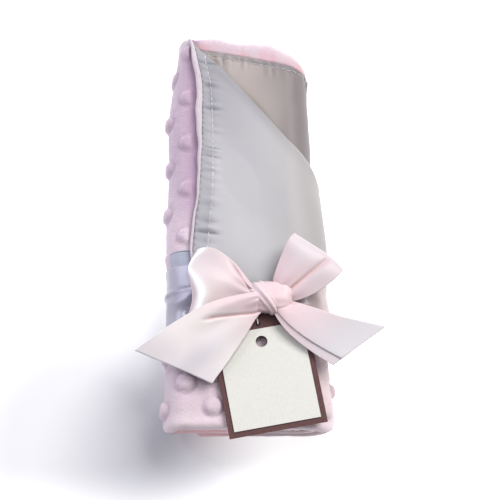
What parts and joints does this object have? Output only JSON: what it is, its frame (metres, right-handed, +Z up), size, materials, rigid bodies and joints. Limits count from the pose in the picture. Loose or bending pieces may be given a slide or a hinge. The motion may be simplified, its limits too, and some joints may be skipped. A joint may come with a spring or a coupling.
{
  "type": "comfort blanket",
  "caption": "Small plush and satin comfort blanket, folded in half, rolled and tied with a satin ribbon bow, with a hang tag.",
  "frame": {"origin": "on the surface that the rolled blanket lies on, under the middle of its box", "axes": "+Y along the roll to its open end, +X to the right as the bow is seen, +Z up"},
  "size_m": [0.1308, 0.2302, 0.0544],
  "materials": {
    "plush": "pale pink plush with raised dots",
    "satin": "silver-grey satin",
    "label": "silver-blue woven satin",
    "ribbon": "pale pink satin ribbon",
    "brown_card": "dark brown uncoated card",
    "cream_card": "cream card",
    "filament": "clear plastic filament"
  },
  "bodies": {
    "bundle": {"minky_panel": "plush", "satin_panel": "satin", "woven_label": "label", "ribbon_band": "ribbon", "ribbon_knot": "ribbon", "bow_loop_left": "ribbon", "bow_loop_right": "ribbon", "bow_tail_left": "ribbon", "bow_tail_right": "ribbon"},
    "tag_loop": {"tag_fastener": "filament"},
    "hang_tag": {"tag_backing_card": "brown_card", "tag_front_card": "cream_card"}
  },
  "joints": [
    {"name": "tag_lift", "type": "hinge", "parent": "bundle", "child": "tag_loop", "pos_m": [-0.00243, -0.04595, 0.03708], "axis": [-0.9833, -0.1822, 0], "range_deg": [0, 22], "deforming": ["bow_tail_left", "bow_tail_right"]},
    {"name": "tag_swing", "type": "hinge", "parent": "tag_loop", "child": "hang_tag", "pos_m": [-0.001, -0.05372, 0.03708], "axis": [0, 0, 1], "range_deg": [-12, 3]}
  ]
}
